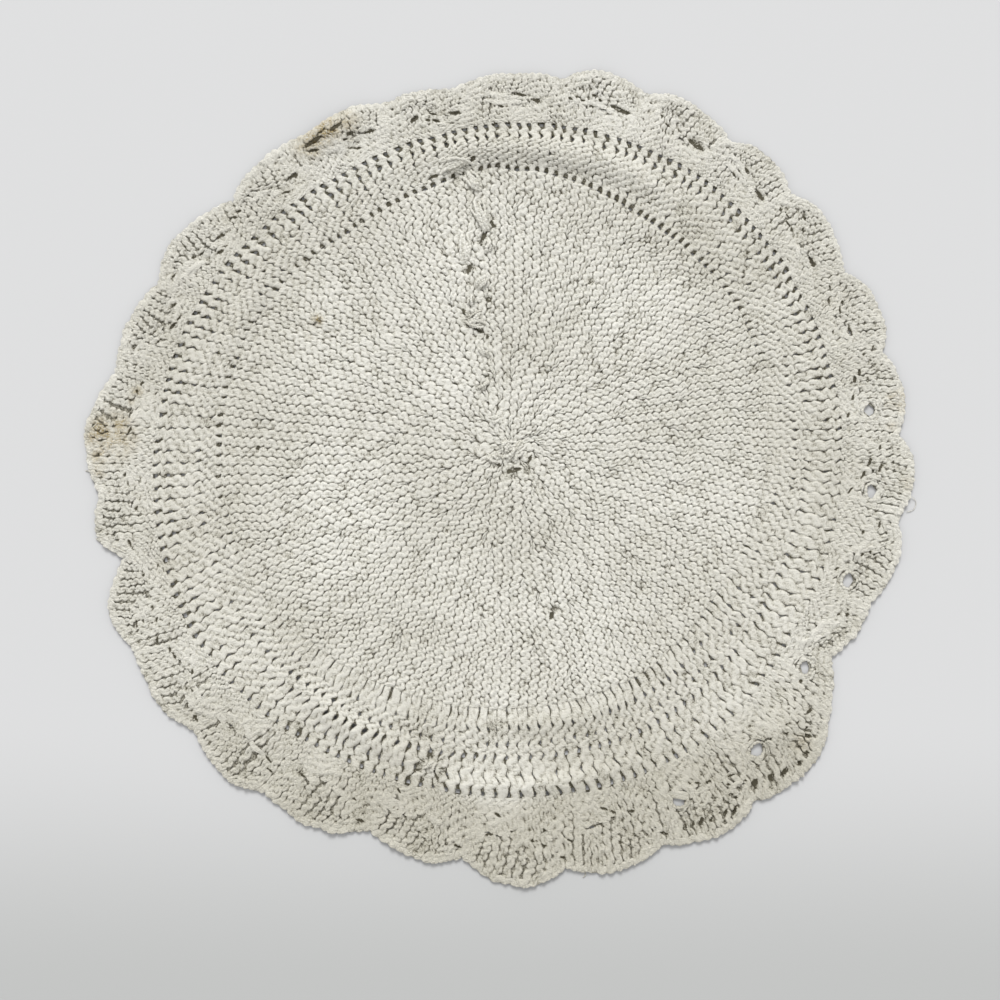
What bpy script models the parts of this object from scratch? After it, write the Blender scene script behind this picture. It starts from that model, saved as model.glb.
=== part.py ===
"""A round knitted doily lying on a table: a ribbed disc, a ring of net and a scalloped leaf edging.

It is one piece of knitting, worked sideways in short rows, so its ribs run out from the hub like
spokes and carry on through the net and the edging. The first and last rows are sewn together in a
seam. Blender, metres, +Z up. The origin is on the table, under the middle of the outline.
"""

import math

import bmesh
import bpy

MM = 0.001

# The cloth, in millimetres.
NET_THICKNESS = 1.7
GROOVE_THICKNESS = 1.8
RIB_THICKNESS = 2.8
RIM_THICKNESS = 2.0
HUB_THICKNESS = 3.2

# Ribs of one repeat of the edging. The spokes of the mesh run along them.
SPOKES_PER_LEAF = 7

# The hub lies a little above the middle that the radii below are measured from.
HUB_OFFSET_Y = 8.4

# One row for each leaf of the edging, counterclockwise from the +X side. leaf_deg is where its
# eyelet lies, tip its outermost point and dip the notch after it. Radii are in millimetres.
LEAVES = (
    # leaf_deg, tip_deg, tip_r, dip_deg, dip_r
    (8.5, 10.5, 224.5, 16.5, 217.5),
    (21.0, 22.5, 224.5, 29.5, 215.0),
    (33.5, 38.0, 223.5, 43.5, 217.5),
    (46.5, 50.5, 223.5, 55.5, 217.0),
    (59.0, 63.5, 225.0, 69.5, 219.0),
    (72.0, 76.0, 224.5, 82.0, 216.0),
    (85.5, 87.5, 217.5, 98.5, 209.5),
    (98.5, 104.0, 212.5, 110.0, 211.5),
    (113.0, 114.5, 217.0, 121.5, 213.5),
    (127.0, 128.5, 217.5, 136.5, 212.0),
    (142.0, 148.0, 224.0, 153.0, 219.0),
    (155.5, 162.0, 226.5, 167.5, 225.0),
    (169.5, 176.0, 237.0, 184.5, 229.5),
    (183.5, 190.0, 233.5, 194.0, 220.5),
    (197.0, 202.0, 238.5, 207.0, 233.5),
    (210.0, 214.0, 237.0, 220.5, 230.0),
    (223.5, 228.0, 237.5, 233.5, 229.0),
    (237.0, 240.0, 232.0, 249.5, 219.0),
    (252.0, 258.5, 227.5, 263.5, 222.0),
    (267.0, 272.0, 237.5, 278.0, 229.0),
    (283.0, 286.5, 236.5, 291.5, 230.0),
    (297.0, 301.5, 239.5, 305.5, 234.0),
    (311.0, 312.0, 240.0, 329.0, 209.5),
    (325.5, 335.5, 217.0, 339.0, 216.5),
    (341.0, 346.5, 225.0, 351.5, 219.5),
    (355.5, 358.5, 227.0, 364.0, 218.0),
)

# Where the ribbed disc ends and the net ends, in millimetres from the middle.
RINGS = (
    # turn_deg, disc_r, net_r
    (0, 144.5, 189.0),
    (30, 152.0, 191.0),
    (60, 155.5, 194.5),
    (90, 160.0, 192.0),
    (120, 152.5, 188.0),
    (150, 158.0, 195.0),
    (180, 159.0, 199.5),
    (210, 155.5, 202.0),
    (240, 148.5, 194.5),
    (270, 141.5, 190.0),
    (300, 143.0, 191.0),
    (330, 140.0, 190.0),
)

# Soft folds, where the cloth stands off the table, in degrees and millimetres.
FOLDS = (
    # turn_deg, r, half_turn_deg, half_width, height
    (82, 172, 38, 15, 4.0),
    (118, 209, 10, 14, 4.5),
    (152, 170, 24, 12, 2.0),
    (238, 172, 22, 11, 3.0),
    (280, 147, 30, 9, 2.8),
    (276, 181, 28, 8, 2.4),
    (316, 212, 9, 16, 2.5),
    (8, 176, 26, 12, 1.6),
)

# The sewn seam runs out from the hub, and its bunched ends stand up as a lump.
SEAM_SPOKE = 46
SEAM_START = 70
SEAM_END = 150
SEAM_RISE = 1.8

# Reach counts the zones outwards: 0 hub, 1 end of the disc, 2 end of the net, 3 rim.
DISC_END, NET_END, RIM = 1, 2, 3
NET_ROWS = 3
NET_BAR = 0.1
NET_GAP = 0.2
GAP_FLARE = 0.12
EYELET_INNER, EYELET_OUTER = 2.36, 2.56
EYELET_REACH = 2.45
FAN_REACH = 2.78
EDGING_LEAN = 6.6

# The disc's rings, each with its share of the disc and its spokes as a share of the full count.
DISC_RINGS = ((0.9, 1), (0.8, 1), (0.69, 1), (0.52, 2), (0.34, 2))
UNDERSIDE_RINGS = ((0.72, 2),)
HUB_SHARE = 0.13
SPOKES_PER_HUB_POINT = 14

COTTON = (0.80, 0.79, 0.73)
COTTON_ROUGHNESS = 0.95
SHARP_ANGLE = 50


def clear_scene():
    for old in list(bpy.data.objects):
        bpy.data.objects.remove(old, do_unlink=True)


def ease(share):
    """0 to 1 along half a cosine."""
    return (1 - math.cos(math.pi * min(max(share, 0), 1))) / 2


def bump(distance):
    """1 at 0, falling softly to 0 at a distance of 1 on both sides."""
    return ease(1 - abs(distance))


def turn_between(turn, other):
    """How far turn lies past other, from -180 to 180 degrees."""
    return (turn - other + 180) % 360 - 180


def ring_radii(turn):
    """(where the disc ends, where the net ends) on a spoke at this turn."""
    step = 360 / len(RINGS)
    index, share = divmod((turn % 360) / step, 1)
    before = RINGS[int(index) % len(RINGS)]
    after = RINGS[(int(index) + 1) % len(RINGS)]
    return [a + (b - a) * ease(share) for a, b in zip(before[1:], after[1:])]


def rim_marks():
    """Tips and dips in order round the rim, as (turn, radius, is it a tip)."""
    marks = []
    for _, tip_deg, tip_r, dip_deg, dip_r in LEAVES:
        marks += [(tip_deg, tip_r, True), (dip_deg, dip_r, False)]
    last_dip = marks[-1]
    return [(last_dip[0] - 360, last_dip[1], False), *marks]


def rim_radius(turn):
    """Radius of the rim: each scallop is round at its tip and meets the next in a notch."""
    marks = rim_marks()
    turn = (turn - marks[0][0]) % 360 + marks[0][0]
    for before, after in zip(marks, marks[1:]):
        if turn <= after[0]:
            share = (turn - before[0]) / (after[0] - before[0])
            tip, dip = (after, before) if after[2] else (before, after)
            from_dip = share if after[2] else 1 - share
            return dip[1] + (tip[1] - dip[1]) * math.sin(from_dip * math.pi / 2)
    return marks[-1][1]


def spoke_turns():
    """The turn of each spoke where it passes the leaf eyelets, an even number to each leaf."""
    turns = []
    starts = [leaf[0] for leaf in LEAVES]
    for start, end in zip(starts, starts[1:] + [starts[0] + 360]):
        turns += [start + (end - start) * k / SPOKES_PER_LEAF for k in range(SPOKES_PER_LEAF)]
    return turns


SPOKE_TURNS = spoke_turns()
SPOKES = len(SPOKE_TURNS)
TURN_STEP = 360 / SPOKES


def spoke_turn(spoke, reach):
    """Turn of a spoke. In the edging the ribs swerve sideways, most of all past the eyelets."""
    whole, part = divmod(spoke, 1)
    turn = SPOKE_TURNS[int(whole) % SPOKES] + part * TURN_STEP
    swerve = ease(max(reach - NET_END, 0)) - ease(EYELET_REACH - NET_END)
    return turn - EDGING_LEAN * swerve


def radius_at(turn, reach):
    disc_r, net_r = ring_radii(turn)
    if reach <= DISC_END:
        return disc_r * reach
    if reach <= NET_END:
        return disc_r + (net_r - disc_r) * (reach - DISC_END)
    return net_r + (rim_radius(turn) - net_r) * (reach - NET_END)


def place(spoke, reach):
    """(x, y) in millimetres from the middle of the rings."""
    turn = spoke_turn(spoke, reach)
    radius = radius_at(turn, reach)
    hub_y = HUB_OFFSET_Y * (1 - ease(reach / NET_END))
    angle = math.radians(turn)
    return radius * math.cos(angle), hub_y + radius * math.sin(angle)


def lift(x, y):
    """How far the underside stands off the table."""
    turn, radius = math.degrees(math.atan2(y, x)), math.hypot(x, y)
    height = 0
    for fold_turn, fold_r, half_turn, half_width, fold_height in FOLDS:
        along = turn_between(turn, fold_turn) / half_turn
        across = (radius - fold_r) / half_width
        height = max(height, fold_height * bump(along) * bump(across))
    return height


def thickness(spoke, reach, every=1):
    """Thickness of the cloth: ribs and grooves by turns on the disc and the edging."""
    if DISC_END < reach < NET_END:
        return NET_THICKNESS
    if reach == RIM:
        return RIM_THICKNESS
    rib = GROOVE_THICKNESS if (spoke // every) % 2 else RIB_THICKNESS
    return rib + seam_rise(spoke, reach)


def seam_rise(spoke, reach):
    if reach > DISC_END or round(spoke) != SEAM_SPOKE:
        return 0
    radius = math.hypot(*place(spoke, reach))
    middle, half = (SEAM_START + SEAM_END) / 2, (SEAM_END - SEAM_START) / 2
    return SEAM_RISE * bump((radius - middle) / half)


def outline_middle():
    """The middle of the outline's box, which becomes the origin."""
    rim = [place(spoke, RIM) for spoke in range(SPOKES)]
    return [(min(axis) + max(axis)) / 2 for axis in zip(*rim)]


class Cloth:
    """Collects the points and faces of the two sides of the cloth."""

    def __init__(self):
        self.mesh = bmesh.new()
        self.middle = outline_middle()

    def point(self, x, y, z):
        """A point of the mesh, from millimetres round the middle of the rings."""
        return self.mesh.verts.new(((x - self.middle[0]) * MM, (y - self.middle[1]) * MM, z * MM))

    def ring(self, reach, top, every=1, shifts=None):
        """A point on every spoke, or on fewer, at the top or the underside of the cloth."""
        points = []
        for spoke in range(0, SPOKES, every):
            x, y = place(spoke + (shifts[spoke] if shifts else 0), reach)
            height = thickness(spoke, reach, every) if top else 0
            points.append(self.point(x, y, lift(x, y) + height))
        return points

    def face(self, corners, top):
        self.mesh.faces.new(corners if top else corners[::-1])

    def band(self, inner, outer, top, gaps=()):
        """Joins two rings of points. The outer one may have several points to each inner one."""
        count, many = len(inner), len(outer) // len(inner)
        for i in range(count):
            a, b = inner[i], inner[(i + 1) % count]
            run = [outer[(i * many + k) % len(outer)] for k in range(many + 1)]
            if many == 1:
                if i not in gaps:
                    self.face((a, run[0], run[1], b), top)
                continue
            half = many // 2
            for k in range(many):
                self.face((a if k < half else b, run[k], run[k + 1]), top)
            self.face((a, run[half], b), top)

    def wall(self, lower, upper):
        """A strip between a run of underside points and the points above them."""
        for k in range(len(lower) - 1):
            self.mesh.faces.new((lower[k], lower[k + 1], upper[k + 1], upper[k]))


def net_gaps(row):
    """Spokes that have a gap after them in this row: every second one, in turn row by row."""
    return range(row % 2, SPOKES, 2)


def leaf_gaps():
    """Spokes that have a leaf eyelet after them."""
    return range(0, SPOKES, SPOKES_PER_LEAF)


def flare(gaps):
    """Sideways shifts of a ring's points that open each gap wider than the bars beside it."""
    shifts = [0.0] * SPOKES
    for spoke in gaps:
        shifts[spoke] -= GAP_FLARE
        shifts[(spoke + 1) % SPOKES] += GAP_FLARE
    return shifts


def openwork_bands():
    """(inner reach, outer reach, gaps) of each row of gaps, from the disc outwards."""
    rows = []
    for row in range(NET_ROWS):
        start = DISC_END + NET_BAR + row * (NET_BAR + NET_GAP)
        rows.append((start, start + NET_GAP, net_gaps(row)))
    rows.append((EYELET_INNER, EYELET_OUTER, leaf_gaps()))
    return rows


def add_openwork(cloth, top_edge, low_edge):
    """The net and the edging, up to the rim. The gaps are cut through and walled."""
    for start, end, gaps in openwork_bands():
        shifts = flare(gaps)
        if start > NET_END:
            top_net, low_net = cloth.ring(NET_END, True), cloth.ring(NET_END, False)
            cloth.band(top_edge, top_net, True)
            cloth.band(low_edge, low_net, False)
            top_edge, low_edge = top_net, low_net
        near = [cloth.ring(start, top, shifts=shifts) for top in (True, False)]
        far = [cloth.ring(end, top, shifts=shifts) for top in (True, False)]
        for side, edge, top in zip((0, 1), (top_edge, low_edge), (True, False)):
            cloth.band(edge, near[side], top)
            cloth.band(near[side], far[side], top, gaps)
        for spoke in gaps:
            after = (spoke + 1) % SPOKES
            loop = [(near, spoke), (near, after), (far, after), (far, spoke), (near, spoke)]
            cloth.wall([ring[1][i] for ring, i in loop], [ring[0][i] for ring, i in loop])
        top_edge, low_edge = far
    fan = cloth.ring(FAN_REACH, True)
    top_rim, low_rim = cloth.ring(RIM, True), cloth.ring(RIM, False)
    cloth.band(top_edge, fan, True)
    cloth.band(fan, top_rim, True)
    cloth.band(low_edge, low_rim, False)
    cloth.wall(low_rim + low_rim[:1], top_rim + top_rim[:1])


def add_disc(cloth, edge, rings, top):
    """One side of the disc, inwards from its edge to the hub."""
    outer = edge
    for share, every in rings:
        inner = cloth.ring(share, top, every)
        cloth.band(inner, outer, top)
        outer = inner
    hub_ring = cloth.ring(HUB_SHARE, top, SPOKES_PER_HUB_POINT)
    cloth.band(hub_ring, outer, top)
    hub = cloth.point(0, HUB_OFFSET_Y, HUB_THICKNESS if top else 0)
    for i, point in enumerate(hub_ring):
        cloth.face((hub, point, hub_ring[(i + 1) % len(hub_ring)]), top)


def cotton():
    material = bpy.data.materials.new("cotton")
    material.use_nodes = True
    shader = material.node_tree.nodes["Principled BSDF"]
    shader.inputs["Base Color"].default_value = (*COTTON, 1)
    shader.inputs["Roughness"].default_value = COTTON_ROUGHNESS
    shader.inputs["Metallic"].default_value = 0
    return material


def make_doily():
    cloth = Cloth()
    top_edge, low_edge = cloth.ring(DISC_END, True), cloth.ring(DISC_END, False)
    add_disc(cloth, top_edge, DISC_RINGS, True)
    add_disc(cloth, low_edge, UNDERSIDE_RINGS, False)
    add_openwork(cloth, top_edge, low_edge)
    mesh = bpy.data.meshes.new("doily")
    cloth.mesh.to_mesh(mesh)
    cloth.mesh.free()
    mesh.materials.append(cotton())
    mesh.shade_smooth()
    mesh.set_sharp_from_angle(angle=math.radians(SHARP_ANGLE))
    doily = bpy.data.objects.new("doily", mesh)
    bpy.context.scene.collection.objects.link(doily)


clear_scene()
make_doily()
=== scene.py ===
import math
import bpy
import numpy as np
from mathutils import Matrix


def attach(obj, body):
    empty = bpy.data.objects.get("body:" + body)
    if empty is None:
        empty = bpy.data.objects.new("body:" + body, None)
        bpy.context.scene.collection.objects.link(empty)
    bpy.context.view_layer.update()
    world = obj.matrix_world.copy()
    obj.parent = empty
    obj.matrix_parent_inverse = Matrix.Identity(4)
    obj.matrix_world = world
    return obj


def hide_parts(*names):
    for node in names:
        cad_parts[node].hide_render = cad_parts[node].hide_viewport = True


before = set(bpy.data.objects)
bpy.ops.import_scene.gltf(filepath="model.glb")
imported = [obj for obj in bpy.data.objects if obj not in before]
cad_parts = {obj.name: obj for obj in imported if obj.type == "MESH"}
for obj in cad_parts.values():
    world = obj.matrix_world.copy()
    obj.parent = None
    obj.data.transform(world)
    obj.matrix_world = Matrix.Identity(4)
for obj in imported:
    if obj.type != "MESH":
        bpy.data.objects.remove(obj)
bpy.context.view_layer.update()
print("frame loaded")

mm = 0.001
dice = np.random.default_rng(11)

# The camera looks straight down. Its view is viewWide metres across at the table.
camera = dict(viewWide=0.56, lens=50, sensor=36, middle=(0, -0.0118), nearest=0.01)


def addObject(name, data):
    made = bpy.data.objects.new(name, data)
    bpy.context.collection.objects.link(made)
    return made


def makeCamera():
    height = camera["viewWide"] * camera["lens"] / camera["sensor"]
    data = bpy.data.cameras.new("camera")
    data.lens, data.sensor_width = camera["lens"], camera["sensor"]
    data.clip_start = camera["nearest"]
    rig = addObject("camera", data)
    rig.location = (*camera["middle"], height)
    bpy.context.scene.camera = rig


makeCamera()

# The shape of the knitting, in mm. Everything is placed by (lane, reach): a lane is one rib of the
# knitting, and reach says how far out it is: 0 hub, 1 end of the disc, 2 end of the net, 3 rim.
shape = dict(
    lanesPerLeaf=7,
    hubOffset=8.4,  # the hub lies above the middle of the rings
    lean=6.6,  # degrees that the ribs swerve in the edging
    leanMiddle=2.45,  # the reach that doesn't swerve
    leaves=[  # leaf eyelet deg, tip deg, tip r, dip deg, dip r
        (8.5, 10.5, 224.5, 16.5, 217.5), (21, 22.5, 224.5, 29.5, 215), (33.5, 38, 223.5, 43.5, 217.5),
        (46.5, 50.5, 223.5, 55.5, 217), (59, 63.5, 225, 69.5, 219), (72, 76, 224.5, 82, 216),
        (85.5, 87.5, 217.5, 98.5, 209.5), (98.5, 104, 212.5, 110, 211.5), (113, 114.5, 217, 121.5, 213.5),
        (127, 128.5, 217.5, 136.5, 212), (142, 148, 224, 153, 219), (155.5, 162, 226.5, 167.5, 225),
        (169.5, 176, 237, 184.5, 229.5), (183.5, 190, 233.5, 194, 220.5), (197, 202, 238.5, 207, 233.5),
        (210, 214, 237, 220.5, 230), (223.5, 228, 237.5, 233.5, 229), (237, 240, 232, 249.5, 219),
        (252, 258.5, 227.5, 263.5, 222), (267, 272, 237.5, 278, 229), (283, 286.5, 236.5, 291.5, 230),
        (297, 301.5, 239.5, 305.5, 234), (311, 312, 240, 329, 209.5), (325.5, 335.5, 217, 339, 216.5),
        (341, 346.5, 225, 351.5, 219.5), (355.5, 358.5, 227, 364, 218),
    ],
    rows=[  # r of the six rows of eyelets in the net, every 30 degrees
        (145, 151.8, 159.6, 166.3, 177.5, 185.4), (151.8, 158.5, 165.8, 173, 180.9, 187.6),
        (152.3, 160.2, 168, 176.4, 184.8, 191.5), (159.6, 165.8, 171.4, 177, 182, 188.7),
        (152.9, 159, 165.8, 171.9, 179.2, 185.4), (159.6, 166.3, 173, 179.2, 185.9, 193.2),
        (160.7, 166.9, 173.6, 182, 190.4, 197.1), (159, 166.3, 174.2, 182.6, 191, 199.9),
        (146.2, 158.5, 165.2, 170.8, 182, 189.8), (142.2, 151.8, 159.6, 165.8, 175.8, 185.9),
        (142.8, 153.4, 161.3, 168, 177.5, 189.3), (140, 148.4, 157.4, 164.1, 175.3, 184.8),
    ],
    folds=[  # turn deg, r, half turn, half width, height
        (82, 175, 38, 12.5, 4.6), (118, 209, 10, 14, 4.5), (152, 170, 24, 12, 2), (238, 172, 22, 11, 3),
        (280, 147, 30, 9, 1.7), (276, 181, 28, 8, 2.4), (316, 212, 9, 16, 2.5), (8, 176, 26, 12, 1.6),
    ],
)
leafMarks = np.array(shape["leaves"])
leafDeg = leafMarks[:, 0]
leafWide = np.diff(np.append(leafDeg, leafDeg[0] + 360))
leaves = np.arange(len(leafDeg))
lanes = len(leafDeg) * shape["lanesPerLeaf"]
netBands = len(shape["rows"][0]) - 1


def draws(seed):
    return np.random.default_rng(seed)


def ease(share):
    return (1 - np.cos(np.pi * np.clip(share, 0, 1))) / 2


def bump(distance):
    return ease(1 - np.abs(distance))


def turnPast(turn, other):
    return (turn - other + 180) % 360 - 180


def laneTurn(lane):
    # turn in degrees of a lane where it passes the leaf eyelets
    whole = np.floor(lane / lanes)
    marks = np.arange(0, lanes + 1, shape["lanesPerLeaf"])
    return np.interp(lane - whole * lanes, marks, np.append(leafDeg, leafDeg[0] + 360)) + 360 * whole


def aroundTable(table, turn):
    # rows of a table given at even turns, read smoothly at any turn
    table = np.array(table)
    at = (turn % 360) / (360 / len(table))
    low = np.floor(at).astype(int)
    share = (at - low)[..., None]
    a, b, c, d = (table[(low + step) % len(table)] for step in (-1, 0, 1, 2))
    bend = share * (2 * a - 5 * b + 4 * c - d + share * (3 * (b - c) + d - a))
    return b + share * (c - a + bend) / 2


rimTurns = np.append(leafMarks[-1, 3] - 360, leafMarks[:, 1::2])
rimRadii = np.append(leafMarks[-1, 4], leafMarks[:, 2::2])


def rimRadius(turn):
    # each scallop is round at its tip and meets the next in a notch
    turn = (turn - rimTurns[0]) % 360 + rimTurns[0]
    low = np.clip(np.searchsorted(rimTurns, turn, side="right") - 1, 0, len(rimTurns) - 2)
    share = (turn - rimTurns[low]) / (rimTurns[low + 1] - rimTurns[low])
    rising = low % 2 == 0
    dip = np.where(rising, rimRadii[low], rimRadii[low + 1])
    tip = np.where(rising, rimRadii[low + 1], rimRadii[low])
    return dip + (tip - dip) * np.sin(np.where(rising, share, 1 - share) * np.pi / 2)


def place(lane, reach):
    # (x, y) in mm from the middle of the rings
    lane, reach = np.broadcast_arrays(np.asarray(lane, float), np.asarray(reach, float))
    swerve = ease(reach - 2) - ease(shape["leanMiddle"] - 2)
    turn = laneTurn(lane) - shape["lean"] * swerve
    rows = aroundTable(shape["rows"], turn)
    at = np.clip((reach - 1) * netBands, 0, netBands)
    low = np.minimum(at.astype(int), netBands - 1)[..., None]
    inner = np.take_along_axis(rows, low, -1)[..., 0]
    outer = np.take_along_axis(rows, low + 1, -1)[..., 0]
    radius = np.where(reach <= 1, rows[..., 0] * reach, inner + (outer - inner) * (at - low[..., 0]))
    netEnd = rows[..., netBands]
    radius = np.where(reach > 2, netEnd + (rimRadius(turn) - netEnd) * (reach - 2), radius)
    hubY = shape["hubOffset"] * (1 - ease(reach / 2))
    angle = np.radians(turn)
    return radius * np.cos(angle), hubY + radius * np.sin(angle)


def lift(x, y):
    # how far the cloth stands off the table
    turn, radius = np.degrees(np.arctan2(y, x)), np.hypot(x, y)
    height = np.zeros_like(x)
    for foldTurn, foldR, halfTurn, halfWide, foldHigh in shape["folds"]:
        along = turnPast(turn, foldTurn) / halfTurn
        across = (radius - foldR) / halfWide
        height = np.maximum(height, foldHigh * bump(along) * bump(across))
    return height


clothMiddle = [(side.min() + side.max()) / 2 for side in place(np.arange(lanes), 3.0)]


# The disc is worked in short rows: some of its ribs start at the hub and some further out.
disc = dict(
    stitches=34, rows=8, inner=0.025, parts=3,
    steps=401, allLanesFrom=0.9, softness=0.1, early=0.04, thinnest=1e-4, shownFrom=0.25,
    turns=(0, 6, 10, 2, 8, 4, 12, 1, 7, 11, 3, 9, 5, 13),  # when each rib of two leaves starts
    mmPerReach=150,
)


def discLanes():
    # for steps of reach: where each rib's middle lies, in lanes, how wide it is there, and its start
    grid = np.linspace(0, 1, disc["steps"])
    per = len(disc["turns"])
    groups = lanes // per
    order = np.tile(np.array(disc["turns"]) / per, groups)
    start = (order + dice.uniform(-disc["early"], disc["early"], lanes)) * disc["allLanesFrom"]
    start[::per] = -1  # these start at the hub
    width = ease((grid[None, :] - start[:, None]) / disc["softness"])
    width = np.maximum(width, disc["thinnest"]).reshape(groups, per, -1)
    share = width / width.sum(1, keepdims=True) * per
    middle = np.cumsum(share, 1) - share / 2 + per * np.arange(groups)[:, None, None]
    return middle.reshape(lanes, -1), share.reshape(lanes, -1), start


discMiddle, discWide, discStart = discLanes()


def between(table, row, low, share):
    return table[row, low] * (1 - share) + table[row, low + 1] * share


def alongGrid(table, lane, reach):
    at = np.clip(reach, 0, 1) * (disc["steps"] - 1)
    low = np.minimum(at.astype(int), disc["steps"] - 2)
    return between(table, lane, low, at - low)


def waves(seed, count, longest, shortest):
    # a soft random field over the table, about -1 to 1
    made = draws(seed)
    size = np.exp(made.uniform(np.log(shortest), np.log(longest), count))
    turn = made.uniform(0, 2 * np.pi, count)
    start = made.uniform(0, 2 * np.pi, count)
    height = (size / longest) ** 0.35

    def field(x, y):
        total = np.zeros_like(x)
        for k in range(count):
            along = x * np.cos(turn[k]) + y * np.sin(turn[k])
            total += height[k] * np.sin(2 * np.pi / size[k] * along + start[k])
        return total / np.sqrt((height ** 2).sum() / 2) / 1.6

    return field


swayX, swayY = waves(3, 16, 60, 9), waves(4, 16, 60, 9)
tufts = waves(5, 18, 40, 5)

stray = dict(
    wander=0.75,  # mm that the stitches wander from their lines
    pinches=[  # where the cloth is drawn together: x, y, radius, how much
        (-43.7, -169.7, 17, 0.42), (-18, 79, 11, 0.35), (-14, 43, 8, 0.35), (46, 101, 7, 0.3),
        (26, -82, 7, 0.3), (-15, 128, 12, 0.3), (60, 63, 6, 0.25), (2, 6, 12, 0.2),
    ],
)


def swayed(x, y):
    x, y = x + stray["wander"] * swayX(x, y), y + stray["wander"] * swayY(x, y)
    for placeX, placeY, far, much in stray["pinches"]:
        pull = much * bump(np.hypot(x - placeX, y - placeY) / far)
        x, y = x + (placeX - x) * pull, y + (placeY - y) * pull
    return x, y


def discPlace(lane, across, reach):
    # across runs from -0.5 to 0.5 over one rib
    spot = alongGrid(discMiddle, lane, reach) + across * alongGrid(discWide, lane, reach)
    return swayed(*place(spot, reach))


def ringPlace(lane, across, reach):
    return swayed(*place(lane + 0.5 + across, reach))


def ribRelief(**given):
    # how a kind of rib is formed: see ribSurface
    return dict(dict(edges="wide", plump=0.8, bridge=0, meet=0.75, gap=0, tone=0), **given)


flaws = dict(
    loose=[  # where stitches lie loose and low: x, y, radius, how much
        (2, -6, 7, 0.6), (-14, 42, 4, 1), (-22, 77, 3.5, 1), (-16, 74, 3, 1), (-12, 130, 3.5, 1),
        (-15.5, 122.5, 3, 1), (-11, 91, 3, 0.9), (-20, 109, 3, 0.9), (-9, 136, 3, 0.6), (-30, 158, 5, 0.5),
        (46, 101, 3.4, 1), (26, -82, 3.4, 1), (60, 63, 3.5, 0.7), (-37, 118, 3, 0.7), (105, 178, 4, 0.6),
        (-44, -164, 4, 0.8), (-38, -174, 4, 0.8), (-50, -170, 4, 0.8), (-10, 66, 3, 0.6),
        (-22, 100, 3, 0.7), (-24, 107, 2.5, 0.9), (10, -4, 5, 0.6), (-8, -2, 4, 0.6), (-35, -38, 3, 0.6),
        (-107, 181, 6, 0.5), (-99, 186, 4, 0.4),
    ],
    slits=[  # slits, sunk and painted dark with shade: x, y, turn deg, half length, half width, depth
        (-13.7, 126.3, -111, 4.2, 1.1, 1), (-11.2, 90.7, 0, 1.5, 1.3, 0.9), (-17.6, 75, -37, 4.6, 1.4, 1),
        (-12.9, 43, 30, 1.8, 1.4, 0.9), (24, -85.7, 80, 2.4, 1.2, 1), (-140, 8, 60, 1.8, 1, 0.8),
        (104.4, 177.5, -35, 5.5, 1.3, 1), (61.6, 197, -26, 5.5, 1.2, 1), (5.3, 205.5, -8, 5, 0.8, 0.7),
        (-52.6, 191.5, 40, 3, 1.4, 1), (-20.7, 168.6, 35, 2.8, 1.2, 1), (-41.4, 159.6, 20, 2.4, 1.1, 0.9),
        (-43, -164, 95, 2.6, 0.6, 0.4), (-38, -166, 40, 2.6, 0.6, 0.4), (-49, -166, 140, 2.6, 0.6, 0.4),
        (-37, -171, 5, 2.2, 0.6, 0.5), (-51, -172, 175, 2.2, 0.6, 0.4), (-40, -176, -60, 2.8, 0.7, 0.4),
        (-47, -176, -120, 2.6, 0.6, 0.5), (3, -4.5, 15, 4.5, 1, 0.9), (-6, -1, -40, 2.5, 0.9, 0.8),
        (12, 2, 70, 2.5, 0.8, 0.7), (-22, 108, -95, 3.2, 0.8, 0.8), (-28, 119, -80, 3, 0.8, 0.7),
        (-9, 133, -60, 2.4, 0.9, 0.8), (-25, 84, -70, 2.2, 0.8, 0.7), (-12, 70, 80, 2, 0.8, 0.6),
        (-109.1, 178.1, 32, 6, 1.3, 0.9), (-96.3, 186.1, 36, 5, 1.2, 0.6), (-88, 183, 10, 3, 1.2, 0.5),
        (-104, 184, 40, 4, 0.9, 0.5), (98.6, -203.8, 70, 1.9, 0.8, 0.9), (102.7, -202.2, 66, 2, 0.9, 0.8),
        (107.5, -200.7, 64, 2.6, 1, 1), (113.7, -199.4, 60, 2.2, 0.9, 0.9), (120.6, -196.6, 64, 3.2, 1, 1),
        (126.2, -194.6, 66, 3, 1, 1), (137.4, -179, 50, 2.6, 1.8, 0.8), (146.7, -175.8, 58, 2.6, 1.7, 0.8),
        (153.8, -173, 50, 2.4, 1.8, 0.8), (162.4, -168, 70, 2.2, 1.4, 0.9),
        (166.2, -162.5, 30, 2, 1.3, 0.9), (167.2, -152.9, -20, 2, 1.2, 0.9),
    ],
)


def marked(x, y, marks, spread=1):
    # how strongly round marks show at a place
    total = np.zeros_like(x)
    for placeX, placeY, far, much in marks:
        total = np.maximum(total, much * bump(np.hypot(x - placeX, y - placeY) / far / spread))
    return total


def slitDepth(x, y, slits):
    total = np.zeros_like(x)
    for placeX, placeY, turn, long, wide, deep in slits:
        near = np.maximum(np.abs(x - placeX), np.abs(y - placeY)) < long + 2
        dx, dy = x[near] - placeX, y[near] - placeY
        c, s = math.cos(math.radians(turn)), math.sin(math.radians(turn))
        far = np.hypot((dx * c + dy * s) / long, (dy * c - dx * s) / wide)
        total[near] = np.maximum(total[near], deep * bump(far ** 2 / 1.5))
    return total


# A rib is a soft ridge of two rows of lobes, left and right, half a stitch apart. A relief gives the
# half length and half width of a lobe, the body under the lobes, their slant, and the rib's sway.
weave = dict(
    wide=(-1, -0.8, -0.42, 0, 0.42, 0.8, 1), narrow=(-1, -0.62, 0, 0.62, 1),  # points across a rib
    rough=0.15, leastLobe=0.25,
    slitDrop=1.3, slitShade=0.9, lowest=1.27,  # slitShade paints shade into them; slits stay above the ground
    mottle=0.05, mottleScale=1.3, mottleShift=40,
)


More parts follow.
